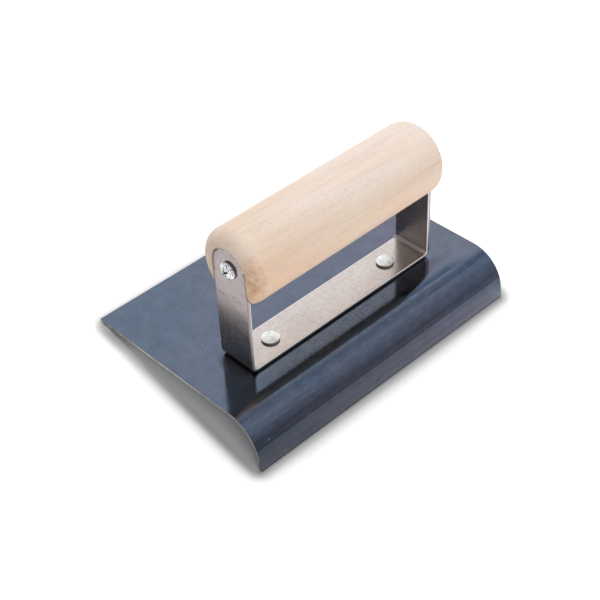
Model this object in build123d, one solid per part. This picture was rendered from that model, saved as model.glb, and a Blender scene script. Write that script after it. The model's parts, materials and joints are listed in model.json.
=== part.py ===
"""A concrete edger: a sheet-steel blade with a rolled lip, a bent steel bracket and a wooden handle.

Each piece is drawn flat on the blade: X runs along the handle, Y from the lip to the back edge,
and z = 0 is the top of the blade. Every piece is then tipped forward on to the back edge and
the lip, which is how the tool lies when it is put down, with +Z up and the surface at z = 0.
"""
from build123d import *
import os
from math import atan2, cos, degrees, radians, sin, tan

# Blade, in millimetres
blade_length = 150.0
flat_width = 82.5
sheet = 1.0
bend_radius = 17.0
bend_angle = 82.5
tail_length = 6.6
lip_corner_radius = 1.0
back_corner_radius = 0.5

# Bracket: one strip, bent up at both ends, riveted on a little to the right of the middle
strip_width = 19.0
strip_thickness = 1.8
bracket_length = 108.0
bracket_bend_radius = 3.6
bracket_x = 0.5
bracket_y = 18.3
handle_height = 50.0

# Handle: it sits a little further right still, so its left end is nearly flush with the ear
handle_diameter = 33.6
handle_length = 110.6
handle_x = 1.1
handle_end_radius = 5.8
recess_clearance = 0.5

# Rivets
rivet_spacing = 70.0
rivet_diameter = 4.0
rivet_head_diameter = 8.0
rivet_rim = 1.1
rivet_dome = 0.35
rivet_edge_radius = 0.3
rivet_tail_diameter = 5.6

# Screws
screw_diameter = 4.0
screw_core = 2.7
screw_length = 28.0
screw_pitch = 1.8
screw_plain = 8.0
screw_point = 4.0
screw_head_diameter = 8.0
screw_rim = 1.1
screw_dome = 1.3
screw_edge_radius = 0.5
cross_span = 4.4
cross_wing = 0.9
cross_depth = 1.7
cross_turn = 30.0

# Places worked out from those
strip_half = strip_width / 2
bracket_half = bracket_length / 2
seat_x = bracket_half - strip_thickness
lean = radians(bend_angle)
lip_y = -bend_radius * sin(lean) - tail_length * cos(lean)
lip_z = -bend_radius * (1 - cos(lean)) - tail_length * sin(lean)
inner_lip_y = lip_y + sheet * sin(lean)
inner_lip_z = lip_z - sheet * cos(lean)
tilt = atan2(-sheet - inner_lip_z, flat_width - inner_lip_y)


def rest_point(y, z):
    """Where a point of the level blade comes to when the tool is tipped forward."""
    return y * cos(tilt) + z * sin(tilt), z * cos(tilt) - y * sin(tilt)


front_y = rest_point(lip_y, lip_z)[0]
back_y = rest_point(flat_width, 0)[0]
floor_z = rest_point(flat_width, -sheet)[1]
REST = Pos(0, -(front_y + back_y) / 2, -floor_z) * Rot(-degrees(tilt), 0, 0)


def bent_section(corners, outer_radius, thickness):
    """The section of a bent sheet whose outer face follows the corners."""
    outer = FilletPolyline(*corners, radius=outer_radius)
    return make_face(outer.offset_2d(thickness, side=Side.LEFT, closed=True))


def make_blade():
    """The flat, its rolled lip and two rivet holes, countersunk from below."""
    bend_corner = -bend_radius * tan(lean / 2)
    section = bent_section([(flat_width, 0), (bend_corner, 0), (lip_y, lip_z)], bend_radius, sheet)
    blade = extrude(Plane.YZ * section, blade_length / 2, both=True)
    corners = blade.edges().filter_by(lambda edge: abs(edge.length - sheet) < 0.01).sort_by(Axis.Y)
    blade = fillet(corners[-2:], back_corner_radius)
    corners = blade.edges().filter_by(lambda edge: abs(edge.length - sheet) < 0.01).sort_by(Axis.Y)
    blade = fillet(corners[:2], lip_corner_radius)
    for side in (-1, 1):
        blade -= rivet_place(side) * rivet_hole()
    return blade


def rivet_place(side):
    """Where a rivet stands on the blade's top, on the left for -1 and on the right for 1."""
    return Pos(bracket_x + side * rivet_spacing / 2, bracket_y, 0)


def rivet_hole():
    """The room that a rivet's shank and its flush tail fill, from the top of the strip down."""
    shank_top = strip_thickness
    shank = Pos(0, 0, (shank_top - sheet) / 2) * Cylinder(rivet_diameter / 2, shank_top + sheet)
    flare = (rivet_tail_diameter - rivet_diameter) / 2
    tail = Cone(rivet_tail_diameter / 2, rivet_diameter / 2, flare)
    return shank + Pos(0, 0, -sheet + flare / 2) * tail


def make_bracket():
    """A strip with both ends bent up into ears that are round about the handle's axis."""
    ear_top = handle_height + strip_half
    corners = [(-bracket_half, ear_top), (-bracket_half, 0), (bracket_half, 0), (bracket_half, ear_top)]
    section = bent_section(corners, bracket_bend_radius, strip_thickness)
    bracket = extrude(Plane.XZ * section, strip_half, both=True)
    side_view = Pos(0, handle_height / 2) * Rectangle(strip_width, handle_height)
    side_view += Pos(0, handle_height) * Circle(strip_half)
    bracket &= extrude(Plane.YZ * side_view, bracket_length, both=True)
    bracket -= Pos(0, 0, handle_height) * Rot(0, 90, 0) * Cylinder(screw_diameter / 2, 2 * bracket_length)
    bracket = Pos(bracket_x, bracket_y, 0) * bracket
    for side in (-1, 1):
        bracket -= rivet_place(side) * rivet_hole()
    return bracket


def make_handle():
    """A round wooden grip with a recess for an ear routed into each end."""
    grip = Rot(0, 90, 0) * Cylinder(handle_diameter / 2, handle_length)
    grip = fillet(grip.edges().filter_by(GeomType.CIRCLE), handle_end_radius)
    grip = Pos(handle_x, bracket_y, handle_height) * grip
    recess_half = strip_half + recess_clearance
    round_top = Rot(0, 90, 0) * Cylinder(recess_half, bracket_length)
    open_foot = Pos(0, 0, -handle_diameter / 2) * Box(bracket_length, 2 * recess_half, handle_diameter)
    for side in (-1, 1):
        recess_x = bracket_x + side * (seat_x + bracket_half)
        grip -= Pos(recess_x, bracket_y, handle_height) * (round_top + open_foot)
    return grip


def domed_head(diameter, rim, dome, edge_radius):
    """A round head that stands on z = 0: a straight rim under a cap that is part of a sphere."""
    height = rim + dome
    ball_radius = (diameter**2 / 4 + dome**2) / (2 * dome)
    disc = Pos(0, 0, height / 2) * Cylinder(diameter / 2, height)
    head = disc & Pos(0, 0, height - ball_radius) * Sphere(ball_radius)
    return fillet(head.edges().filter_by_position(Axis.Z, rim - 0.01, rim + 0.01), edge_radius)


def make_rivet(side):
    """A low domed head on the strip, a shank through both sheets and a tail set flush below."""
    head = domed_head(rivet_head_diameter, rivet_rim, rivet_dome, rivet_edge_radius)
    rivet = Pos(0, 0, strip_thickness) * head + rivet_hole()
    return rivet_place(side) * rivet


def make_screw(side):
    """A pan-head wood screw that holds an ear against its seat in the handle."""
    dome_top = screw_rim + screw_dome
    screw = domed_head(screw_head_diameter, screw_rim, screw_dome, screw_edge_radius)
    wing = Polyline(
        (-cross_span / 2, dome_top),
        (cross_span / 2, dome_top),
        (cross_span / 6, dome_top - cross_depth),
        (-cross_span / 6, dome_top - cross_depth),
        close=True,
    )
    slot = extrude(Plane.XZ * make_face(wing), cross_wing / 2, both=True)
    for turn in (cross_turn, cross_turn + 90):
        screw -= Rot(0, 0, turn) * slot
    screw += screw_shank()
    lay_along_x = Rot(0, 90, 0) if side > 0 else Rot(0, -90, 0)
    return Pos(bracket_x + side * bracket_half, bracket_y, handle_height) * lay_along_x * screw


def screw_shank():
    """The plain neck, the threaded core and its point, below z = 0."""
    core_end = screw_length - screw_point
    neck = Pos(0, 0, -screw_plain / 2) * Cylinder(screw_diameter / 2, screw_plain)
    core = Pos(0, 0, -core_end / 2) * Cylinder(screw_core / 2, core_end)
    point = Pos(0, 0, -core_end - screw_point / 2) * Cone(0.15, screw_core / 2, screw_point)
    return neck + core + point + screw_thread(screw_plain, core_end)


def screw_thread(top, bottom):
    """One ridge wound round the core between two depths."""
    root = screw_core / 2 - 0.1
    crest = screw_diameter / 2
    path = Helix(screw_pitch, bottom - top - screw_pitch, root, center=(0, 0, -bottom + screw_pitch / 2))
    ridge = Polyline((0, -0.35), (crest - root, -0.06), (crest - root, 0.06), (0, 0.35), close=True)
    start = Plane(path @ 0, x_dir=(1, 0, 0), z_dir=path % 0)
    return sweep(start * make_face(ridge), path=path, is_frenet=True)


left_screw = make_screw(-1)
right_screw = make_screw(1)
pieces = {
    "blade": make_blade(),
    "bracket": make_bracket(),
    "handle": make_handle() - left_screw - right_screw,
    "screw_left": left_screw,
    "screw_right": right_screw,
    "rivet_left": make_rivet(-1),
    "rivet_right": make_rivet(1),
}

os.makedirs("parts", exist_ok=True)
for name, piece in pieces.items():
    export_step(REST * piece, f"parts/{name}.step")
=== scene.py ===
"""The look of a concrete edger: a blued sheet-steel blade, a bare steel bracket and a wooden handle.

Each piece is built level, as the tool sits with its blade flat: X runs along the handle, Y from
the lip to the back edge, and z = 0 is the top of the blade. REST then tips it on to its back
edge and lip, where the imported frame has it.
"""
import json
import math

import bmesh
import bpy
from mathutils import Matrix, Vector


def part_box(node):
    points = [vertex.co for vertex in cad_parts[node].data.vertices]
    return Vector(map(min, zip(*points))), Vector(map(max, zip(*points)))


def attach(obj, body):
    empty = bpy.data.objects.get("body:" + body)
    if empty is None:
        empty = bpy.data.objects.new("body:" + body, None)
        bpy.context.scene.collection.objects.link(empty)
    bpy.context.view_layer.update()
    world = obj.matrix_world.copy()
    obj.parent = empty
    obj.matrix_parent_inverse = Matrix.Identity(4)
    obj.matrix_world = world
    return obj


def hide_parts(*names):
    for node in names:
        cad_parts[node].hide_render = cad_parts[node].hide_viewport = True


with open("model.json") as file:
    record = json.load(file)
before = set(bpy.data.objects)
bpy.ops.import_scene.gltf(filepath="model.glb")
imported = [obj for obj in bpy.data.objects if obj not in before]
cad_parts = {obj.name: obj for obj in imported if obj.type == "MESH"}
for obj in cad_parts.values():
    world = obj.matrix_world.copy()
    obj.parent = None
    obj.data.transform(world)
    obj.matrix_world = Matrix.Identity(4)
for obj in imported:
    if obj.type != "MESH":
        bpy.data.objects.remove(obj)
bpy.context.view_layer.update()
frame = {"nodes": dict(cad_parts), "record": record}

# ---------------------------------------------------------------- driving dimensions, in metres
MM = 0.001
BLADE_LENGTH = 150 * MM
FLAT_WIDTH = 82.5 * MM
SHEET = 1.0 * MM
SHEET_RIM_ROUND = 0.12 * MM
BEND_RADIUS = 17 * MM
BEND_ANGLE = math.radians(82.5)
TAIL_LENGTH = 6.6 * MM
LIP_CORNER = 1.0 * MM
BACK_CORNER = 0.5 * MM
BEND_LENGTH = BEND_RADIUS * BEND_ANGLE
LIP_SPAN = BEND_LENGTH + TAIL_LENGTH

STRIP_WIDTH = 19 * MM
STRIP = 1.8 * MM
STRIP_RIM_ROUND = 0.4 * MM
BRACKET_LENGTH = 108 * MM
BRACKET_BEND = 3.6 * MM
BRACKET_X = 0.5 * MM
BRACKET_Y = 18.3 * MM
EAR_RADIUS = STRIP_WIDTH / 2
LEFT_LEG = BRACKET_X - BRACKET_LENGTH / 2
RIGHT_LEG = BRACKET_X + BRACKET_LENGTH / 2
STRIP_FRONT = BRACKET_Y - EAR_RADIUS
STRIP_BACK = BRACKET_Y + EAR_RADIUS

HANDLE_HEIGHT = 50 * MM
HANDLE_RADIUS = 16.8 * MM
HANDLE_LENGTH = 110.6 * MM
HANDLE_X = 1.1 * MM
HANDLE_ROUND = 5.8 * MM
RECESS_RADIUS = EAR_RADIUS + 0.25 * MM
RECESS_FLOOR_ROUND = 0.02 * MM
RECESS_RIM_ROUND = 0.35 * MM
RECESS_CUTTER_DEPTH = 20 * MM

RIVET_X = 35 * MM
RIVET_RADIUS = 2 * MM
RIVET_HEAD = 4 * MM
RIVET_RIM = 1.1 * MM
RIVET_DOME = 0.35 * MM
RIVET_TAIL = 2.8 * MM

# How far a screw's wall, and the hollow of its cross, stand out from the ear.
SCREW_WALL = 0.6 * MM
SCREW_HOLLOW = 1.75 * MM
SCREW_CROSS_RADIUS = 2.7 * MM

# How finely the meshes follow their curves.
BEND_STEP = math.radians(2)
BESIDE_BEND = 0.1 * MM
BLADE_SPACING = 12 * MM
BRACKET_SPACING = 10 * MM
HOLE_SEGMENTS = 48
RIVET_SEGMENTS = 64
HANDLE_SEGMENTS = 128
HANDLE_STATIONS = 24
EAR_STEPS = 32
ROUND_STEPS = 12
BACK_CORNER_STEPS = 4
LIP_CORNER_STEPS = 5
CREASE = math.radians(38)
# A cutter passes this far beyond the surface that it opens.
CUT_PAST = 1 * MM
# A face is part of a slab's rim where its normal has less Z than this.
SHEET_RIM_LEAN = 0.5
STRIP_RIM_LEAN = 0.95

# ---------------------------------------------------------------- where the level tool rests
sole = next(mount for mount in frame["record"]["mounts"] if mount["name"] == "sole")
TILT = math.atan2(-sole["axis"][1], -sole["axis"][2])
_, blade_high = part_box("blade")
level_y = blade_high.y - FLAT_WIDTH * math.cos(TILT)
level_z = SHEET * math.cos(TILT) + FLAT_WIDTH * math.sin(TILT)
REST = Matrix.Translation((0, level_y, level_z)) @ Matrix.Rotation(-TILT, 4, "X")


# ---------------------------------------------------------------- mesh helpers
def mesh_object(name, bm, materials):
    """A linked object from a bmesh, smooth except at its real corners."""
    mesh = bpy.data.meshes.new(name)
    bmesh.ops.recalc_face_normals(bm, faces=bm.faces)
    bm.to_mesh(mesh)
    bm.free()
    for material in materials:
        mesh.materials.append(material)
    mesh.polygons.foreach_set("use_smooth", [True] * len(mesh.polygons))
    mesh.set_sharp_from_angle(angle=CREASE)
    obj = bpy.data.objects.new(name, mesh)
    bpy.context.scene.collection.objects.link(obj)
    return obj


def place(obj, node):
    """Puts a level piece in its rest place, where it stands for a CAD node.

    Its flats are shaded as flat right up to their rounded edges, so that they mirror truly.
    """
    obj.data.transform(REST)
    shading = obj.modifiers.new("shading", "WEIGHTED_NORMAL")
    shading.keep_sharp = True
    shading.weight = 100
    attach(obj, "root")
    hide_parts(node)
    return obj


def cut(bm, cutters):
    """The bmesh with each cutter's volume taken away."""
    body = mesh_object("cut_body", bm, [])
    for cutter_bm in cutters:
        cutter = mesh_object("cutter", cutter_bm, [])
        modifier = body.modifiers.new("cut", "BOOLEAN")
        modifier.object = cutter
        modifier.solver = "EXACT"
        evaluated = body.evaluated_get(bpy.context.evaluated_depsgraph_get())
        result = bpy.data.meshes.new_from_object(evaluated)
        body.modifiers.clear()
        body.data = result
        bpy.data.objects.remove(cutter)
    out = bmesh.new()
    out.from_mesh(body.data)
    bpy.data.objects.remove(body)
    return out


def lathe(profile, segments):
    """A solid of revolution about Z from (radius, z) points that start and end on the axis."""
    bm = bmesh.new()
    rings = []
    for radius, z in profile[1:-1]:
        turns = [2 * math.pi * i / segments for i in range(segments)]
        rings.append([bm.verts.new((radius * math.cos(a), radius * math.sin(a), z)) for a in turns])
    for lower, upper in zip(rings, rings[1:]):
        for i in range(segments):
            j = (i + 1) % segments
            bm.faces.new((lower[i], lower[j], upper[j], upper[i]))
    for ring, (_, z) in ((rings[0], profile[0]), (rings[-1], profile[-1])):
        tip = bm.verts.new((0, 0, z))
        for i in range(segments):
            bm.faces.new((ring[i], ring[(i + 1) % segments], tip))
    bmesh.ops.recalc_face_normals(bm, faces=bm.faces)
    return bm


def arc(centre, radius, start, end, steps):
    """Points on an arc between two angles in degrees, both ends included."""
    angles = [math.radians(start + (end - start) * i / steps) for i in range(steps + 1)]
    return [(centre[0] + radius * math.cos(a), centre[1] + radius * math.sin(a)) for a in angles]


def bent(runs, start, heading, s):
    """The point and heading at s along a path of (length, turn) runs, each straight or an arc."""
    point = Vector(start)
    for index, (length, turn) in enumerate(runs):
        last = index == len(runs) - 1
        step = s if last else min(s, length)
        left = Vector((-math.sin(heading), math.cos(heading)))
        if turn:
            centre = point + left * (length / turn)
            heading += turn * step / length
            point = centre - Vector((-math.sin(heading), math.cos(heading))) * (length / turn)
        else:
            point = point + Vector((math.cos(heading), math.sin(heading))) * step
        s -= step
        if s <= 0:
            break
    return point, heading


def slab(outline, thickness, edge_round, holes):
    """A flat plate below z = 0 with this outline, rounded rim edges, and holes cut through it."""
    bm = bmesh.new()
    face = bm.faces.new([bm.verts.new((w, s, 0)) for w, s in outline])
    made = bmesh.ops.extrude_face_region(bm, geom=[face])
    lower = [v for v in made["geom"] if isinstance(v, bmesh.types.BMVert)]
    bmesh.ops.translate(bm, verts=lower, vec=(0, 0, -thickness))
    bmesh.ops.recalc_face_normals(bm, faces=bm.faces)
    rim = [e for e in bm.edges if abs(e.verts[0].co.z - e.verts[1].co.z) < thickness / 2]
    bmesh.ops.bevel(bm, geom=rim, offset=edge_round, segments=3, profile=0.5, affect="EDGES")
    return cut(bm, holes) if holes else bm


def mark_rim(bm, lean):
    """Gives the second material to a slab's rim, where a face's normal has less Z than this."""
    for face in bm.faces:
        face.material_index = 1 if abs(face.normal.z) < lean else 0


def bend_slab(bm, runs, start, heading, place_point, spacing):
    """Bends a slab along its second axis.

    One UV map keeps the width and path length, and another the depth from the z = 0 face.
    """
    position = 0
    stations = []
    for length, turn in runs:
        step = BEND_STEP * length / turn if turn else spacing
        count = max(1, round(length / step))
        stations += [position + length * i / count for i in range(1, count)]
        if not turn:
            stations += [position + BESIDE_BEND, position + length - BESIDE_BEND]
        position += length
        stations.append(position)
    for s in stations[:-1]:
        geometry = bm.verts[:] + bm.edges[:] + bm.faces[:]
        bmesh.ops.bisect_plane(bm, geom=geometry, plane_co=(0, s, 0), plane_no=(0, 1, 0))
    uv = bm.loops.layers.uv.new("sheet")
    depth = bm.loops.layers.uv.new("depth")
    for face in bm.faces:
        for loop in face.loops:
            loop[uv].uv = loop.vert.co.xy
            loop[depth].uv = (-loop.vert.co.z, 0)
    for vert in bm.verts:
        w, s, z = vert.co
        point, direction = bent(runs, start, heading, s)
        inward = Vector((-math.sin(direction), math.cos(direction)))
        vert.co = place_point(w, point - inward * z)
    return bm


# ---------------------------------------------------------------- material helpers
# The size of a blotch, in metres, along an axis that it isn't limited on.
UNBOUNDED = 1.0


class Nodes:
    """A material's node tree, with short calls for the nodes used here."""

    def __init__(self, name):
        self.material = bpy.data.materials.new(name)
        self.material.use_nodes = True
        self.tree = self.material.node_tree
        self.shader = next(n for n in self.tree.nodes if n.type == "BSDF_PRINCIPLED")

    def add(self, kind, **values):
        """A new node, with these properties."""
        node = self.tree.nodes.new(kind)
        for key, value in values.items():
            setattr(node, key, value)
        return node

    def link(self, source, target):
        self.tree.links.new(source, target)

    def feed(self, socket, value):
        """Links a socket's source, or sets its value."""
        if isinstance(value, bpy.types.NodeSocket):
            self.link(value, socket)
        else:
            socket.default_value = value

    def coords(self, scale=(1, 1, 1), turn=(0, 0, 0), uv=None):
        """Object or UV coordinates, along axes turned by these angles and then scaled."""
        if uv:
            source = self.add("ShaderNodeUVMap", uv_map=uv).outputs["UV"]
        else:
            source = self.add("ShaderNodeTexCoord").outputs["Object"]
        mapping = self.add("ShaderNodeMapping", vector_type="TEXTURE")
        self.link(source, mapping.inputs["Vector"])
        mapping.inputs["Scale"].default_value = [1 / size for size in scale]
        mapping.inputs["Rotation"].default_value = turn
        return mapping.outputs["Vector"]

    def level(self):
        """The place on the level tool, in metres, whatever the tilt it rests at."""
        mapping = self.add("ShaderNodeMapping")
        self.link(self.add("ShaderNodeTexCoord").outputs["Object"], mapping.inputs["Vector"])
        mapping.inputs["Rotation"].default_value = (TILT, 0, 0)
        mapping.inputs["Location"].default_value = REST.inverted().translation
        return mapping.outputs["Vector"]

    def blotch(self, point, centre, size, core=0.0):
        """1 in an ellipsoid's core, fading to 0 at its rim."""
        return self.ramp(self.away(point, centre, size), (core, 1.0), (1.0, 0.0))

    def away(self, point, centre, size):
        """How far a point is from an ellipsoid's centre, as a share of its size."""
        mapping = self.add("ShaderNodeMapping", vector_type="TEXTURE")
        self.link(point, mapping.inputs["Vector"])
        mapping.inputs["Location"].default_value = centre
        mapping.inputs["Scale"].default_value = size
        length = self.add("ShaderNodeVectorMath", operation="LENGTH")
        self.link(mapping.outputs["Vector"], length.inputs[0])
        return length.outputs["Value"]

    def axis(self, vector, axis):
        """One axis of a vector."""
        split = self.add("ShaderNodeSeparateXYZ")
        self.link(vector, split.inputs["Vector"])
        return split.outputs[axis]

    def along(self, vector, axis, start, end):
        """One axis of a vector, as 0 to 1 between two places."""
        share = self.add("ShaderNodeMapRange")
        self.link(self.axis(vector, axis), share.inputs["Value"])
        share.inputs["From Min"].default_value = start
        share.inputs["From Max"].default_value = end
        return share.outputs["Result"]

    def noise(self, vector, scale, detail, rough, distort=0.0):
        """Fractal noise, 0 to 1."""
        node = self.add("ShaderNodeTexNoise")
        self.link(vector, node.inputs["Vector"])
        node.inputs["Scale"].default_value = scale
        node.inputs["Detail"].default_value = detail
        node.inputs["Roughness"].default_value = rough
        node.inputs["Distortion"].default_value = distort
        return node.outputs["Fac"]

    def stretched(self, scale, detail, rough, distort=0.0, turn=(0, 0, 0), uv=None):
        """Noise with a scale of its own along each axis."""
        return self.noise(self.coords(scale=scale, turn=turn, uv=uv), 1.0, detail, rough, distort)

    def ramp(self, value, *stops):
        """A value turned to colour by stops, each (position, colour) or (position, grey)."""
        node = self.add("ShaderNodeValToRGB")
        self.feed(node.inputs["Fac"], value)
        elements = node.color_ramp.elements
        while len(elements) < len(stops):
            elements.new(0.5)
        for element, (position, colour) in zip(elements, stops):
            element.position = position
            element.color = (*colour, 1) if isinstance(colour, tuple) else (colour,) * 3 + (1,)
        return node.outputs["Color"]

    def mix(self, factor, a, b, blend="MIX"):
        """The first colour, blended to the second by the factor."""
        node = self.add("ShaderNodeMix", data_type="RGBA", blend_type=blend)
        self.feed(node.inputs["Factor"], factor)
        self.feed(node.inputs["A"], (*a, 1) if isinstance(a, tuple) else a)
        self.feed(node.inputs["B"], (*b, 1) if isinstance(b, tuple) else b)
        return node.outputs["Result"]

    def tint(self, colour, by, amount=1.0):
        """A colour multiplied by another, wholly or in part."""
        return self.mix(amount, colour, by, "MULTIPLY")

    def math(self, operation, *values):
        """The result of one maths node."""
        node = self.add("ShaderNodeMath", operation=operation)
        for socket, value in zip(node.inputs, values):
            self.feed(socket, value)
        return node.outputs["Value"]

    def times(self, first, *others):
        """The product of the values."""
        for other in others:
            first = self.math("MULTIPLY", first, other)
        return first

    def most(self, first, *others):
        """The greatest of the values."""
        for other in others:
            first = self.math("MAXIMUM", first, other)
        return first

    def above(self, value, limit):
        """1 where the value is over the limit."""
        return self.math("GREATER_THAN", value, limit)

    def below(self, value, limit):
        """1 where the value is under the limit."""
        return self.math("LESS_THAN", value, limit)

    def bump(self, height, strength, distance):
        """Bumps in the shaded surface, this deep."""
        node = self.add("ShaderNodeBump")
        node.inputs["Strength"].default_value = strength
        node.inputs["Distance"].default_value = distance
        self.link(height, node.inputs["Height"])
        self.link(node.outputs["Normal"], self.shader.inputs["Normal"])

    def set(self, **values):
        """Feeds the shader's inputs, named in lower case, and returns the finished material."""
        for key, value in values.items():
            name = key.replace("_", " ").title()
            self.feed(self.shader.inputs[name], (*value, 1) if isinstance(value, tuple) else value)
        return self.material


# ---------------------------------------------------------------- blade materials
OXIDE_CLOUDS = [
    (0.36, (0.113, 0.114, 0.156)),
    (0.5, (0.105, 0.116, 0.153)),
    (0.66, (0.095, 0.114, 0.156)),
]
# Oxide tints from the start of the bend to the lip's edge, with painted reflection bands and a painted
# highlight at the lip's edge.
BEND_OXIDE_AND_REFLECTION_TINTS = [
    (0.0, (1.0, 1.0, 1.0)),
    (0.16, (0.97, 1.06, 1.12)),
    (0.26, (0.86, 1.03, 1.17)),
    (0.34, (1.16, 1.32, 1.44)),
    (0.42, (0.96, 1.08, 1.2)),
    (0.52, (0.78, 0.8, 0.88)),
    (0.6, (0.63, 0.63, 0.69)),
    (0.625, (0.84, 0.85, 0.88)),
    (0.75, (0.8, 0.81, 0.84)),
    (0.88, (0.98, 0.98, 0.98)),
    (0.935, (1.5, 1.45, 1.4)),
    (0.97, (2.2, 2.1, 2.0)),
]
# Painted shade under the grip, at the start of the bend, with a painted highlight line along its edge.
GRIP_SHADE_TINTS = [
    (0.0, (0.95, 1.0, 1.02)),
    (0.03, (0.85, 0.95, 1.0)),
    (0.08, (0.5, 0.6, 0.66)),
    (0.138, (0.42, 0.54, 0.6)),
    (0.15, (1.3, 1.3, 1.3)),
    (0.17, (1.0, 1.0, 1.0)),
]
# Tints of the flat near its left end, going inward between these places.
LEFT_END_TINTS = [(0.0, (0.86, 0.97, 1.0)), (1.0, (1.0, 1.0, 1.0))]
LEFT_END = (-62 * MM, -30 * MM)
# Tints of the sheared rim from the back edge to the lip's edge.
RIM_TINTS = [(0.46, (0.96, 0.94, 0.93)), (0.62, (0.5, 0.48, 0.47)), (1.0, (0.46, 0.44, 0.43))]


def blued_steel():
    """Slate-blue oxide on rolled sheet, streaked along the bend, and darker on the lip with painted shade."""
    n = Nodes("blued_steel")
    sheet = n.coords(uv="sheet")
    level = n.level()
    bend = n.along(sheet, "Y", FLAT_WIDTH, FLAT_WIDTH + LIP_SPAN)
    on_top = n.ramp(n.along(level, "Z", -SHEET, 0), (0.03, 0.0), (0.15, 1.0))

    cloud = n.noise(n.coords(uv="sheet", scale=(0.8, 1.3, 1)), 26, 3, 0.55, 0.6)
    colour = n.ramp(cloud, *OXIDE_CLOUDS)
    streaks = n.stretched((8, 1150, 1), 4, 0.65, uv="sheet")
    wander = n.math("MULTIPLY_ADD", streaks, 0.03, bend)
    colour = n.tint(colour, n.ramp(wander, *BEND_OXIDE_AND_REFLECTION_TINTS))

    # Painted shade darkens the lip towards its left end, and the flat is a little greener near its left end.
    lip = n.ramp(bend, (0.4, 0.0), (0.64, 1.0))
    lengthwise = n.along(level, "X", -BLADE_LENGTH / 2, BLADE_LENGTH / 2)
    colour = n.tint(colour, n.ramp(lengthwise, (0.0, 0.56), (1.0, 1.0)), lip)
    flat = n.ramp(bend, (0.0, 1.0), (0.1, 0.0))
    inward = n.along(level, "X", *LEFT_END)
    colour = n.tint(colour, n.ramp(inward, *LEFT_END_TINTS), flat)

    # Painted shade on the top face: before the base, round the left leg's foot and under the grip.
    before_base_shade = n.blotch(level, (0, 4 * MM, 0), (66 * MM, 6 * MM, 6 * MM), 0.75)
    colour = n.mix(n.times(before_base_shade, on_top, 0.6), colour, (0.064, 0.066, 0.076))
    foot_shade = n.blotch(level, (LEFT_LEG, BRACKET_Y, 0), (7 * MM, 11 * MM, 11 * MM), 0.55)
    foot_shade = n.times(foot_shade, on_top)
    colour = n.mix(n.times(foot_shade, 0.7), colour, (0.05, 0.046, 0.047))
    under_grip_shade = n.blotch(level, (-2 * MM, 0, 0), (66 * MM, UNBOUNDED, UNBOUNDED), 0.82)
    colour = n.tint(colour, n.ramp(bend, *GRIP_SHADE_TINTS), n.times(under_grip_shade, on_top))

    # Rolling streaks and grain, mostly on the bend, and grime everywhere.
    fine = n.stretched((14, 2600, 1), 3, 0.6, uv="sheet")
    rolled = n.tint(n.ramp(streaks, (0.34, 0.84), (0.64, 1.12)), n.ramp(fine, (0.36, 0.92), (0.62, 1.08)))
    on_bend = n.ramp(bend, (0.0, 0.2), (0.14, 0.95), (0.58, 0.95), (0.64, 0.25))
    colour = n.tint(colour, rolled, on_bend)
    grain = n.stretched((220, 800, 1), 4, 0.7, uv="sheet")
    colour = n.tint(colour, n.ramp(grain, (0.34, 0.84), (0.66, 1.14)), on_bend)
    grime = n.noise(sheet, 140, 4, 0.65)
    colour = n.tint(colour, n.ramp(grime, (0.3, 0.88), (0.7, 1.1)))

    # Dark dust before the base, and pale scratches and flecks.
    dust = n.ramp(n.stretched((700, 800, 1), 2, 0.5, uv="sheet"), (0.55, 0.0), (0.63, 0.5))
    dusty = n.blotch(level, (0, 2 * MM, 0), (60 * MM, 9 * MM, 9 * MM), 0.6)
    colour = n.mix(n.times(dusty, on_top, dust), colour, (0.016, 0.016, 0.014))
    scratches = n.stretched((90, 900, 1), 2, 0.5, turn=(0, 0, -0.5), uv="sheet")
    flecks = n.stretched((420, 520, 1), 1, 0.4, uv="sheet")
    marks = n.most(n.ramp(scratches, (0.74, 0.0), (0.78, 0.5)), n.ramp(flecks, (0.76, 0.0), (0.8, 0.7)))
    colour = n.mix(marks, colour, (0.24, 0.25, 0.28))

    rough = n.ramp(n.noise(sheet, 60, 3, 0.6), (0.3, 0.095), (0.7, 0.15))
    rough = n.math("MULTIPLY_ADD", foot_shade, 0.2, rough)
    wave = n.noise(n.coords(uv="sheet", scale=(1, 1.6, 1)), 34, 1, 0.4)
    n.bump(wave, 0.06, 2.0 * MM)
    return n.set(base_color=colour, metallic=1.0, roughness=rough)


def cut_edge():
    """The sheared rim of the sheet, where the oxide is broken."""
    n = Nodes("cut_edge")
    shear = n.stretched((500, 500, 160), 3, 0.6)
    colour = n.ramp(shear, (0.3, (0.3, 0.28, 0.27)), (0.5, (0.5, 0.475, 0.45)), (0.72, (0.68, 0.65, 0.62)))
    forward = n.along(n.coords(uv="sheet"), "Y", 0, FLAT_WIDTH + LIP_SPAN)
    colour = n.tint(colour, n.ramp(forward, *RIM_TINTS))
    n.bump(shear, 0.3, 0.1 * MM)
    return n.set(base_color=colour, metallic=1.0, roughness=0.42)


# ---------------------------------------------------------------- bracket materials
STRIP_CLOUDS = [
    (0.32, (0.425, 0.385, 0.37)),
    (0.5, (0.452, 0.412, 0.395)),
    (0.68, (0.47, 0.432, 0.41)),
]
# Tints of the base from its front edge to its back edge.
BASE_TINTS = [(0.1, (0.96, 0.925, 0.89)), (0.55, (1.0, 0.99, 0.99)), (0.9, (1.02, 1.01, 1.02))]
# Painted shade: the legs darken going up to the ears.
EAR_SHADE_TINTS = [(0.0, (1.0, 1.0, 1.0)), (1.0, (0.9, 0.885, 0.92))]
# Colours of the rim from the strip's inner face to its outer face, on the legs and along the base.
LEG_RIM = [
    (0.0, (0.92, 0.9, 0.93)),
    (0.2, (0.75, 0.72, 0.75)),
    (0.4, (0.44, 0.41, 0.43)),
    (0.75, (0.4, 0.37, 0.38)),
    (1.0, (0.16, 0.12, 0.12)),
]
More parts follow.
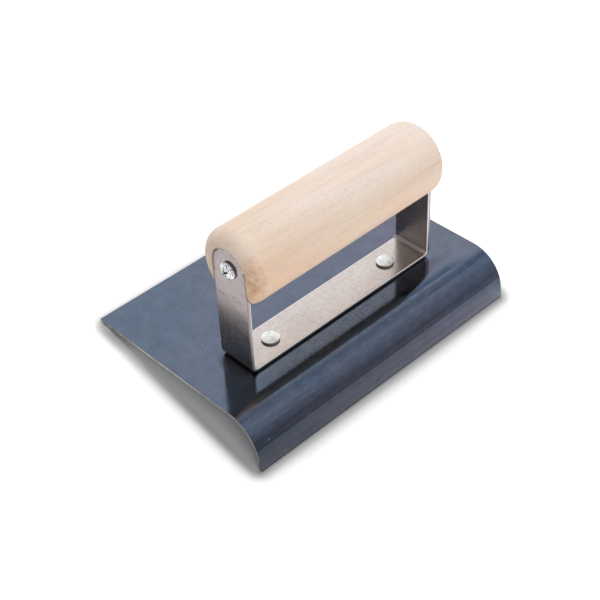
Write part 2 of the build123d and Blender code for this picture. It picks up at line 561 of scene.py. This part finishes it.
# Along the base: the sheared edge's bands, with a painted highlight at the top, a painted dark reflection,
# the paler face, and painted shade where the strip meets the blade.
BASE_RIM = [
    (0.14, (0.95, 0.93, 0.95)),
    (0.24, (0.05, 0.045, 0.05)),
    (0.42, (0.05, 0.045, 0.05)),
    (0.5, (0.42, 0.4, 0.42)),
    (0.62, (0.4, 0.38, 0.4)),
    (0.72, (0.02, 0.02, 0.022)),
]
# A mark on the left leg fades out over this length, well short of the right leg.
LEFT_LEG_REACH = 50 * MM


def leg_place(forward, height):
    """A place on the left leg's outer face, by how far it is before its middle and how high."""
    return (LEFT_LEG, BRACKET_Y - forward, height)


def leg_marks(n, level, ragged):
    """A broken ring, a dab, a smudge and a scratch on the left leg."""
    ring = n.away(level, leg_place(1.9 * MM, 36.2 * MM), (LEFT_LEG_REACH, 1.9 * MM, 1.6 * MM))
    ring = n.ramp(ring, (0.4, 0.0), (0.8, 0.8), (1.15, 0.0))
    ring = n.times(ring, n.ramp(ragged, (0.4, 0.35), (0.6, 1.0)))
    dab = n.blotch(level, leg_place(5.0 * MM, 36.3 * MM), (LEFT_LEG_REACH, 1.5 * MM, 1.6 * MM))
    smudge = n.blotch(level, leg_place(-6.2 * MM, 35.4 * MM), (LEFT_LEG_REACH, 4.6 * MM, 1.5 * MM))
    scratch = n.blotch(level, leg_place(2.6 * MM, 29.8 * MM), (LEFT_LEG_REACH, 5.5 * MM, 0.5 * MM))
    return n.most(ring, n.times(dab, 0.5), n.times(smudge, 0.75), n.times(scratch, 0.6))


def bare_steel():
    """Bright rolled strip with faint warm tints, finger marks and specks."""
    n = Nodes("bare_steel")
    strip = n.coords(uv="sheet")
    level = n.level()
    on_legs = n.ramp(n.along(level, "Z", 0, 25 * MM), (0.2, 0.0), (1.0, 1.0))
    on_right = n.ramp(n.along(level, "X", 0, RIGHT_LEG), (0.5, 0.0), (0.9, 1.0))
    on_right = n.times(on_right, on_legs)

    cloud = n.noise(strip, 60, 4, 0.6, 0.5)
    colour = n.ramp(cloud, *STRIP_CLOUDS)
    brushed = n.stretched((2200, 40, 1), 3, 0.6, uv="sheet")
    colour = n.tint(colour, n.ramp(brushed, (0.3, 0.96), (0.7, 1.03)))
    mottle = n.noise(strip, 520, 4, 0.65)
    colour = n.tint(colour, n.ramp(mottle, (0.3, 0.9), (0.7, 1.08)))
    speck = n.stretched((800, 700, 1), 2, 0.6, uv="sheet")
    colour = n.mix(n.ramp(speck, (0.66, 0.0), (0.74, 0.6)), colour, (0.24, 0.19, 0.165))
    rust = n.stretched((150, 170, 1), 4, 0.7, uv="sheet")
    colour = n.mix(n.ramp(rust, (0.58, 0.0), (0.76, 0.55)), colour, (0.45, 0.325, 0.21))

    # Painted shade: the legs are darker than the base, and the right leg and its inner bend darker still.
    colour = n.tint(colour, (0.88, 0.85, 0.87), on_legs)
    backward = n.along(level, "Y", STRIP_FRONT, STRIP_BACK)
    colour = n.mix(on_legs, n.tint(colour, n.ramp(backward, *BASE_TINTS)), colour)
    # A painted highlight along the base's back edge.
    back_edge_highlight = n.math("SUBTRACT", n.ramp(backward, (0.96, 0.0), (0.98, 0.4)), on_legs)
    colour = n.mix(n.most(back_edge_highlight, 0.0), colour, (0.8, 0.77, 0.76))
    colour = n.tint(colour, (0.84, 0.82, 0.82), on_right)
    in_bend = (RIGHT_LEG - 2.3 * MM, BRACKET_Y + 2 * MM, 2.3 * MM)
    bend_shade = n.blotch(level, in_bend, (2.4 * MM, 12 * MM, 2.4 * MM), 0.35)
    colour = n.mix(n.times(bend_shade, 0.8), colour, (0.235, 0.2, 0.19))
    upward = n.along(level, "Z", 32 * MM, 46 * MM)
    colour = n.tint(colour, n.ramp(upward, *EAR_SHADE_TINTS))

    # Painted shade round the left ear's rim and half way up the leg, and the marks and smears.
    ragged = n.noise(level, 700, 4, 0.65)
    to_rim = n.away(level, leg_place(0, HANDLE_HEIGHT), (LEFT_LEG_REACH, EAR_RADIUS, EAR_RADIUS))
    by_rim = n.ramp(to_rim, (0.6, 0.0), (0.9, 1.0), (1.02, 1.0), (1.1, 0.0))
    on_ear = n.above(n.axis(level, "Z"), HANDLE_HEIGHT - 4 * MM)
    ear_rim_shade = n.times(by_rim, n.ramp(ragged, (0.44, 0.0), (0.64, 0.75)), on_ear)
    colour = n.mix(ear_rim_shade, colour, (0.19, 0.165, 0.165))
    shade = n.blotch(level, leg_place(5 * MM, 27.5 * MM), (LEFT_LEG_REACH, 11 * MM, 5.5 * MM), 0.2)
    colour = n.tint(colour, (0.76, 0.75, 0.78), shade)
    smears = n.stretched((90, 70, 1), 2, 0.5, 1.2, uv="sheet")
    smears = n.times(n.ramp(smears, (0.47, 0.0), (0.5, 0.16), (0.53, 0.0)), on_legs)
    colour = n.mix(n.most(leg_marks(n, level, ragged), smears), colour, (0.2, 0.175, 0.175))

    rough = n.ramp(n.noise(strip, 110, 4, 0.65), (0.3, 0.22), (0.7, 0.28))
    rough = n.math("MULTIPLY_ADD", on_right, 0.08, rough)
    round_bend = (RIGHT_LEG - 2.5 * MM, BRACKET_Y, 2.5 * MM)
    dull_bend = n.blotch(level, round_bend, (4.5 * MM, 14 * MM, 4.5 * MM), 0.5)
    rough = n.math("MULTIPLY_ADD", dull_bend, 0.14, rough)
    n.bump(mottle, 0.05, 0.05 * MM)
    return n.set(base_color=colour, metallic=1.0, roughness=rough)


def strip_edge():
    """The sheared rim of the strip: bright with a painted highlight where it is rolled over, and painted
    shade where it meets the blade.
    """
    n = Nodes("strip_edge")
    level = n.level()
    outward = n.along(n.coords(uv="depth"), "X", STRIP, 0)
    in_base = n.below(n.axis(level, "Z"), STRIP + 0.1 * MM)
    colour = n.mix(in_base, n.ramp(outward, *LEG_RIM), n.ramp(outward, *BASE_RIM))
    shear = n.noise(n.coords(), 900, 3, 0.6)
    colour = n.tint(colour, n.ramp(shear, (0.3, 0.85), (0.7, 1.1)))
    # A painted glint on the front edge of the right bend.
    at_bend = (RIGHT_LEG - 1.8 * MM, STRIP_FRONT, 1.7 * MM)
    glint = n.blotch(level, at_bend, (2.2 * MM, 2 * MM, 1.8 * MM), 0.3)
    colour = n.mix(n.times(glint, 0.8), colour, (1.0, 0.97, 0.96))
    rolled_over = n.ramp(outward, (0.14, 0.1), (0.26, 0.85))
    n.bump(shear, 0.2, 0.1 * MM)
    return n.set(base_color=colour, metallic=rolled_over, roughness=0.42)


# ---------------------------------------------------------------- handle material
WOOD_RINGS = [
    (0.3, (0.55, 0.42, 0.325)),
    (0.44, (0.555, 0.443, 0.355)),
    (0.56, (0.56, 0.462, 0.38)),
    (0.72, (0.57, 0.48, 0.405)),
]
GRAIN_TINTS = [(0.28, (0.935, 0.885, 0.825)), (0.48, (1.0, 1.0, 1.0)), (0.74, (1.035, 1.048, 1.06))]
SPECKLE_TINTS = [(0.3, (0.95, 0.935, 0.93)), (0.7, (1.05, 1.055, 1.065))]
# Tints of the wood by height, which are painted light and shade (warmer low down, cooler on top), from the
# left end to the right end, and from the middle to the back.
UPWARD_LIGHT_TINTS = [(0.4, (1.05, 0.98, 0.92)), (0.75, (0.98, 0.99, 1.0)), (1.0, (0.97, 1.01, 1.08))]
LENGTHWISE_TINTS = [
    (0.01, (0.968, 0.938, 0.915)),
    (0.055, (0.955, 0.9, 0.85)),
    (0.15, (0.96, 0.915, 0.865)),
    (0.3, (0.98, 0.96, 0.945)),
    (0.5, (0.98, 1.0, 1.02)),
    (1.0, (1.01, 1.035, 1.07)),
]
BACKWARD_TINTS = [(0.0, (1.01, 1.01, 1.01)), (0.4, (1.0, 1.0, 1.0)), (0.8, (0.945, 1.005, 1.1))]
# The grain runs a little down and forward as it goes to the right.
GRAIN_TURN = (0, 0.025, -0.035)


def wood():
    """Pale turned beech: fine lengthwise grain, warm streaks, end pores and a stain by the left ear."""
    n = Nodes("wood")
    level = n.level()
    x = n.axis(level, "X")
    y = n.axis(level, "Y")
    z = n.axis(level, "Z")

    bands = n.stretched((5, 75, 75), 4, 0.6, 0.7, turn=GRAIN_TURN)
    colour = n.ramp(bands, *WOOD_RINGS)
    grain = n.stretched((22, 520, 520), 5, 0.66, 0.4, turn=GRAIN_TURN)
    colour = n.tint(colour, n.ramp(grain, *GRAIN_TINTS))
    speckle = n.noise(n.coords(), 1000, 3, 0.6)
    colour = n.tint(colour, n.ramp(speckle, *SPECKLE_TINTS))
    pores = n.stretched((170, 1500, 1500), 2, 0.5)
    colour = n.mix(n.ramp(pores, (0.6, 0.0), (0.76, 0.4)), colour, (0.42, 0.29, 0.2))
    blush = n.stretched((14, 150, 150), 3, 0.6, turn=GRAIN_TURN)
    colour = n.mix(n.ramp(blush, (0.48, 0.0), (0.7, 0.55)), colour, (0.6, 0.42, 0.29))

    # Painted light and shade by height: warmer on the lower side, cooler on top.
    upward = n.along(level, "Z", HANDLE_HEIGHT - HANDLE_RADIUS, HANDLE_HEIGHT + HANDLE_RADIUS)
    colour = n.tint(colour, n.ramp(upward, *UPWARD_LIGHT_TINTS))
    lengthwise = n.along(level, "X", HANDLE_X - HANDLE_LENGTH / 2, HANDLE_X + HANDLE_LENGTH / 2)
    colour = n.tint(colour, n.ramp(lengthwise, *LENGTHWISE_TINTS))
    backward = n.along(level, "Y", BRACKET_Y, BRACKET_Y + HANDLE_RADIUS)
    colour = n.tint(colour, n.ramp(backward, *BACKWARD_TINTS))

    # A brown stain before the left ear, and a pink patch to the right of it.
    ragged = n.ramp(n.noise(level, 380, 5, 0.65), (0.36, 0.2), (0.64, 1.25))
    stain_at = (LEFT_LEG, BRACKET_Y - 14 * MM, HANDLE_HEIGHT - 1 * MM)
    stain = n.blotch(level, stain_at, (6.5 * MM, 9 * MM, 16 * MM))
    colour = n.mix(n.times(stain, ragged), colour, (0.38, 0.21, 0.11))
    pink_at = (LEFT_LEG + 13.5 * MM, BRACKET_Y - 16.5 * MM, HANDLE_HEIGHT - 2.5 * MM)
    pink = n.blotch(level, pink_at, (6 * MM, 9 * MM, 3.5 * MM))
    colour = n.mix(n.times(pink, 0.5), colour, (0.64, 0.39, 0.28))

    # Painted shade in the gap between the left ear and its recess: down the front, and thinly over the top.
    beside_ear_shade = n.math("COMPARE", y, BRACKET_Y - RECESS_RADIUS, 0.45 * MM)
    beside_ear_shade = n.times(beside_ear_shade, n.below(z, HANDLE_HEIGHT + 4 * MM), n.below(x, LEFT_LEG + 2.2 * MM))
    climb = n.along(level, "Z", HANDLE_HEIGHT - 8 * MM, HANDLE_HEIGHT + 4 * MM)
    beside_ear_shade = n.times(beside_ear_shade, n.ramp(climb, (0.0, 0.96), (1.0, 0.6)))
    colour = n.mix(beside_ear_shade, colour, (0.05, 0.028, 0.02))
    over_ear_shade = n.away(level, leg_place(0, HANDLE_HEIGHT), (UNBOUNDED, RECESS_RADIUS, RECESS_RADIUS))
    over_ear_shade = n.math("COMPARE", over_ear_shade, 1.02, 0.04)
    over_ear_shade = n.times(over_ear_shade, n.above(z, HANDLE_HEIGHT + 5 * MM), n.below(x, LEFT_LEG + 1 * MM), 0.5)
    colour = n.mix(over_ear_shade, colour, (0.16, 0.12, 0.1))

    n.bump(grain, 0.18, 0.2 * MM)
    return n.set(base_color=colour, roughness=0.62)


# ---------------------------------------------------------------- rivet and screw materials
def plated_rivet():
    """Dull zinc on a hammered head, with painted shade round its wall."""
    n = Nodes("plated_rivet")
    mottle = n.noise(n.coords(), 420, 4, 0.6)
    colour = n.ramp(mottle, (0.32, (0.6, 0.61, 0.6)), (0.5, (0.8, 0.82, 0.81)), (0.68, (0.93, 0.95, 0.95)))
    # Painted shade on the head's wall.
    wall_shade = n.below(n.axis(n.level(), "Z"), STRIP + RIVET_RIM - 0.15 * MM)
    colour = n.mix(wall_shade, colour, (0.17, 0.16, 0.148))
    n.bump(n.noise(n.coords(), 380, 3, 0.6), 0.35, 0.25 * MM)
    return n.set(base_color=colour, metallic=0.45, roughness=0.36)


def plated_screw():
    """Bright zinc with dark specks, and painted shade in the cross and round the head's wall."""
    n = Nodes("plated_screw")
    level = n.level()
    mottle = n.noise(n.coords(), 1500, 3, 0.6)
    colour = n.ramp(mottle, (0.39, (0.06, 0.06, 0.07)), (0.48, (0.72, 0.73, 0.76)), (0.6, (0.93, 0.94, 0.95)))
    outward = n.math("ABSOLUTE", n.math("SUBTRACT", n.axis(level, "X"), BRACKET_X))
    raised = n.math("SUBTRACT", outward, BRACKET_LENGTH / 2)
    # Painted shade round the head's wall and in its cross.
    colour = n.mix(n.below(raised, SCREW_WALL), colour, (0.13, 0.12, 0.125))
    cross_size = (UNBOUNDED, SCREW_CROSS_RADIUS, SCREW_CROSS_RADIUS)
    near_axis = n.blotch(level, (0, BRACKET_Y, HANDLE_HEIGHT), cross_size, 0.9)
    cross_shade = n.times(n.below(raised, SCREW_HOLLOW), near_axis)
    colour = n.mix(cross_shade, colour, (0.02, 0.02, 0.022))
    n.bump(n.noise(n.coords(), 700, 2, 0.5), 0.35, 0.2 * MM)
    return n.set(base_color=colour, metallic=0.45, roughness=0.38)


# ---------------------------------------------------------------- pieces
def blade_outline(length):
    """The flat sheet with its rounded corners, anticlockwise from its back left."""
    half = BLADE_LENGTH / 2
    back = BACK_CORNER
    lip = LIP_CORNER
    points = arc((back - half, back), back, 180, 270, BACK_CORNER_STEPS)
    points += arc((half - back, back), back, 270, 360, BACK_CORNER_STEPS)
    points += arc((half - lip, length - lip), lip, 0, 90, LIP_CORNER_STEPS)
    points += arc((lip - half, length - lip), lip, 90, 180, LIP_CORNER_STEPS)
    return points


def rivet_room():
    """The room of a rivet's shank and countersunk tail in a plate whose top is at z = 0."""
    flare = RIVET_TAIL - RIVET_RADIUS
    below = -SHEET - CUT_PAST
    profile = [(0, CUT_PAST), (RIVET_RADIUS, CUT_PAST), (RIVET_RADIUS, flare - SHEET)]
    profile += [(RIVET_TAIL, -SHEET), (RIVET_TAIL, below), (0, below)]
    return lathe(profile, HOLE_SEGMENTS)


def make_blade(surface, edge):
    """The blade: a flat sheet with two rivet holes, rolled down along its front."""
    runs = [(FLAT_WIDTH, 0), (BEND_LENGTH, BEND_ANGLE), (TAIL_LENGTH, 0)]
    length = sum(run[0] for run in runs)
    holes = []
    for side in (-1, 1):
        hole = rivet_room()
        centre = (BRACKET_X + side * RIVET_X, FLAT_WIDTH - BRACKET_Y, 0)
        bmesh.ops.translate(hole, verts=hole.verts, vec=centre)
        holes.append(hole)
    bm = slab(blade_outline(length), SHEET, SHEET_RIM_ROUND, holes)
    mark_rim(bm, SHEET_RIM_LEAN)
    bend_slab(bm, runs, (FLAT_WIDTH, 0), math.pi, lambda w, p: Vector((w, p.x, p.y)), BLADE_SPACING)
    blade = mesh_object("blade_sheet", bm, [surface, edge])
    return place(blade, "blade")


def make_bracket(surface, edge):
    """The bracket: a strip with round ends and four holes, bent up at both ends."""
    quarter = math.pi / 2
    leg = HANDLE_HEIGHT + EAR_RADIUS - BRACKET_BEND
    base = BRACKET_LENGTH - 2 * BRACKET_BEND
    bend_length = BRACKET_BEND * quarter
    runs = [(leg, 0), (bend_length, quarter), (base, 0), (bend_length, quarter), (leg, 0)]
    length = sum(run[0] for run in runs)
    outline = arc((0, EAR_RADIUS), EAR_RADIUS, 180, 360, EAR_STEPS)
    outline += arc((0, length - EAR_RADIUS), EAR_RADIUS, 0, 180, EAR_STEPS)
    below = -STRIP - CUT_PAST
    holes = []
    for s in (EAR_RADIUS, length - EAR_RADIUS, length / 2 - RIVET_X, length / 2 + RIVET_X):
        profile = [(0, CUT_PAST), (RIVET_RADIUS, CUT_PAST), (RIVET_RADIUS, below), (0, below)]
        hole = lathe(profile, HOLE_SEGMENTS)
        bmesh.ops.translate(hole, verts=hole.verts, vec=(0, s, 0))
        holes.append(hole)
    bm = slab(outline, STRIP, STRIP_RIM_ROUND, holes)
    mark_rim(bm, STRIP_RIM_LEAN)
    start = (LEFT_LEG, HANDLE_HEIGHT + EAR_RADIUS)
    bend_slab(bm, runs, start, -quarter, lambda w, p: Vector((p.x, BRACKET_Y + w, p.y)), BRACKET_SPACING)
    bracket = mesh_object("bracket_strip", bm, [surface, edge])
    return place(bracket, "bracket")


def make_handle(surface):
    """The handle: a round bar with rounded ends, and a recess in each end for an ear."""
    half = HANDLE_LENGTH / 2
    flat = HANDLE_RADIUS - HANDLE_ROUND
    profile = [(0, -half), (flat * 0.5, -half)]
    profile += arc((flat, HANDLE_ROUND - half), HANDLE_ROUND, 270, 360, ROUND_STEPS)
    straight = half - HANDLE_ROUND
    stations = [straight * (2 * i / HANDLE_STATIONS - 1) for i in range(1, HANDLE_STATIONS)]
    profile += [(HANDLE_RADIUS, station) for station in stations]
    profile += arc((flat, half - HANDLE_ROUND), HANDLE_ROUND, 0, 90, ROUND_STEPS)
    profile += [(flat * 0.5, half), (0, half)]
    bm = lathe(profile, HANDLE_SEGMENTS)
    seat = BRACKET_LENGTH / 2 - STRIP
    depth = RECESS_CUTTER_DEPTH
    turn = Matrix.Rotation(math.pi / 2, 4, "Z") @ Matrix.Rotation(math.pi / 2, 4, "X")
    cutters = []
    for side in (-1, 1):
        outline = arc((0, 0), RECESS_RADIUS, 0, 180, EAR_STEPS)
        outline += [(-RECESS_RADIUS, -2 * HANDLE_RADIUS), (RECESS_RADIUS, -2 * HANDLE_RADIUS)]
        cutter = slab(outline, depth, RECESS_FLOOR_ROUND, [])
        near = BRACKET_X + side * (seat + depth / 2) - depth / 2
        move = Matrix.Translation((near + depth - HANDLE_X, 0, 0)) @ turn
        bmesh.ops.transform(cutter, matrix=move, verts=cutter.verts)
        cutters.append(cutter)
    bmesh.ops.transform(bm, matrix=Matrix.Rotation(math.pi / 2, 4, "Y"), verts=bm.verts)
    bm = cut(bm, cutters)
    bmesh.ops.translate(bm, verts=bm.verts, vec=(HANDLE_X, BRACKET_Y, HANDLE_HEIGHT))
    handle = mesh_object("handle_grip", bm, [surface])
    rim = handle.modifiers.new("worn_rim", "BEVEL")
    rim.width = RECESS_RIM_ROUND
    rim.segments = 3
    rim.limit_method = "ANGLE"
    rim.angle_limit = CREASE
    return place(handle, "handle")


def make_rivet(side, surface):
    """One rivet: a low domed head on the base, a shank, and a tail flush with the sole."""
    top = RIVET_RIM + RIVET_DOME
    ball = (RIVET_HEAD**2 + RIVET_DOME**2) / (2 * RIVET_DOME)
    reach = math.degrees(math.asin(RIVET_HEAD / ball))
    bottom = -STRIP - SHEET
    flare = RIVET_TAIL - RIVET_RADIUS
    profile = [(0, bottom), (RIVET_TAIL, bottom), (RIVET_RADIUS, bottom + flare)]
    profile += [(RIVET_RADIUS, 0), (RIVET_HEAD, 0)]
    profile += arc((0, top - ball), ball, 90 - reach, 90, ROUND_STEPS)
    bm = lathe(profile, RIVET_SEGMENTS)
    bmesh.ops.translate(bm, verts=bm.verts, vec=(BRACKET_X + side * RIVET_X, BRACKET_Y, STRIP))
    name = "left" if side < 0 else "right"
    rivet = mesh_object(f"rivet_{name}_metal", bm, [surface])
    return place(rivet, f"rivet_{name}")


make_blade(blued_steel(), cut_edge())
make_bracket(bare_steel(), strip_edge())
make_handle(wood())
rivet_metal = plated_rivet()
screw_metal = plated_screw()
for side in (-1, 1):
    make_rivet(side, rivet_metal)
for node in ("screw_left", "screw_right"):
    screw = frame["nodes"][node]
    screw.data.materials.clear()
    screw.data.materials.append(screw_metal)


# ---------------------------------------------------------------- floor, light and camera
FLOOR_HALF = 3.0
# The floor has a painted shadow about a rectangle inside the tool's footprint, as (share of the reach, grey).
SHADE_CENTRE = (0, -1.3 * MM, 0)
SHADE_HALF = (73.0 * MM, 46.9 * MM, 0)
SHADE_REACH = 12 * MM
FLOOR_SHADE = [
    (0.0, 0.76),
    (0.1, 0.7),
    (0.18, 0.56),
    (0.28, 0.375),
    (0.36, 0.385),
    (0.46, 0.47),
    (0.575, 0.62),
    (0.68, 0.715),
    (0.8, 0.775),
    (1.0, 0.92),
]
# A painted shadow on the floor by the blade's back left corner.
CORNER_SHADE_CENTRE = (-75.2 * MM, 41 * MM, 0)
CORNER_SHADE_SIZE = (6 * MM, 13 * MM, UNBOUNDED)
CORNER_SHADE_TINT = (0.6, 0.6, 0.6)

SKY_FILL = (0.42, 0.42, 0.43)
SKY_PANELS = [
    ((0.5, -0.5, 0.7), 30, 60, (0.78, 0.78, 0.78)),
    ((0.52, 0.68, 0.52), 20, 40, (1.5, 1.5, 1.5)),
    ((-0.55, 0.6, 0.4), 20, 45, (0.6, 0.6, 0.6)),
]
# Each light's name, size in metres, place, target, and power in watts.
LIGHTS = [
    ("key", 0.35, (0.08, 0.4, 1.0), (0, 0, 0), 8.4),
    ("fill", 1.0, (-0.4, -1.3, 0.4), (0, 0, 0.04), 12),
]

CAMERA_TARGET = Vector((-15.78, -8.40, 24.41)) * MM
CAMERA_AZIMUTH = math.radians(-50.96)
CAMERA_ELEVATION = math.radians(48.39)
CAMERA_ROLL = math.radians(9.29)
CAMERA_DISTANCE = 571.2 * MM
CAMERA_LENS = 81.26
CAMERA_SENSOR = 36


def beyond_footprint(n):
    """How far each way a place on the floor is outside the shade's rectangle."""
    point = n.coords()
    zero = (0, 0, 0)
    steps = [("SUBTRACT", SHADE_CENTRE), ("ABSOLUTE", zero), ("SUBTRACT", SHADE_HALF), ("MAXIMUM", zero)]
    for operation, value in steps:
        node = n.add("ShaderNodeVectorMath", operation=operation)
        n.link(point, node.inputs[0])
        node.inputs[1].default_value = value
        point = node.outputs["Vector"]
    return point


def make_floor():
    """A pale floor with a painted shadow close round the tool. It isn't part of the object."""
    low, high = -FLOOR_HALF, FLOOR_HALF
    mesh = bpy.data.meshes.new("floor")
    mesh.from_pydata([(low, low, 0), (high, low, 0), (high, high, 0), (low, high, 0)], [], [(0, 1, 2, 3)])
    floor = bpy.data.objects.new("floor", mesh)
    bpy.context.scene.collection.objects.link(floor)
    n = Nodes("floor")
    away = n.away(beyond_footprint(n), (0, 0, 0), (SHADE_REACH, SHADE_REACH, SHADE_REACH))
    tone = n.ramp(away, *FLOOR_SHADE)
    corner = n.blotch(n.coords(), CORNER_SHADE_CENTRE, CORNER_SHADE_SIZE)
    tone = n.tint(tone, CORNER_SHADE_TINT, corner)
    n.set(base_color=tone, roughness=0.9)
    mesh.materials.append(n.material)


def make_world(panels, fill):
    """An even studio sky with soft panels, each (direction, inner angle, outer angle, radiance)."""
    world = bpy.data.worlds.new("studio")
    bpy.context.scene.world = world
    world.use_nodes = True
    tree = world.node_tree
    background = tree.nodes["Background"]
    sky = tree.nodes.new("ShaderNodeTexCoord").outputs["Generated"]
    light = fill
    for direction, inner, outer, radiance in panels:
        dot = tree.nodes.new("ShaderNodeVectorMath")
        dot.operation = "DOT_PRODUCT"
        tree.links.new(sky, dot.inputs[0])
        dot.inputs[1].default_value = Vector(direction).normalized()
        edge = tree.nodes.new("ShaderNodeMapRange")
        edge.interpolation_type = "SMOOTHSTEP"
        tree.links.new(dot.outputs["Value"], edge.inputs["Value"])
        edge.inputs["From Min"].default_value = math.cos(math.radians(outer))
        edge.inputs["From Max"].default_value = math.cos(math.radians(inner))
        blend = tree.nodes.new("ShaderNodeMix")
        blend.data_type = "RGBA"
        tree.links.new(edge.outputs["Result"], blend.inputs["Factor"])
        for socket, value in (("A", light), ("B", radiance)):
            if isinstance(value, tuple):
                blend.inputs[socket].default_value = (*value, 1)
            else:
                tree.links.new(value, blend.inputs[socket])
        light = blend.outputs["Result"]
    tree.links.new(light, background.inputs["Color"])


def make_light(name, size, location, target, power):
    """A square soft light. It isn't mirrored in the metal, which shows the studio sky instead."""
    light = bpy.data.lights.new(name, "AREA")
    light.shape = "SQUARE"
    light.size = size
    light.energy = power
    lamp = bpy.data.objects.new(name, light)
    lamp.location = location
    lamp.rotation_mode = "QUATERNION"
    lamp.rotation_quaternion = (Vector(target) - Vector(location)).to_track_quat("-Z", "Y")
    lamp.visible_glossy = False
    bpy.context.scene.collection.objects.link(lamp)


def make_camera():
    """The camera, above the tool's left front."""
    camera = bpy.data.objects.new("camera", bpy.data.cameras.new("camera"))
    camera.data.lens = CAMERA_LENS
    camera.data.sensor_width = CAMERA_SENSOR
    turn = Matrix.Rotation(CAMERA_AZIMUTH, 4, "Z")
    turn = turn @ Matrix.Rotation(math.pi / 2 - CAMERA_ELEVATION, 4, "X")
    turn = turn @ Matrix.Rotation(CAMERA_ROLL, 4, "Z")
    back = Matrix.Translation((0, 0, CAMERA_DISTANCE))
    camera.matrix_world = Matrix.Translation(CAMERA_TARGET) @ turn @ back
    bpy.context.scene.collection.objects.link(camera)
    bpy.context.scene.camera = camera


make_floor()
make_world(SKY_PANELS, SKY_FILL)
for light in LIGHTS:
    make_light(*light)
make_camera()
bpy.context.scene.view_settings.view_transform = "Standard"
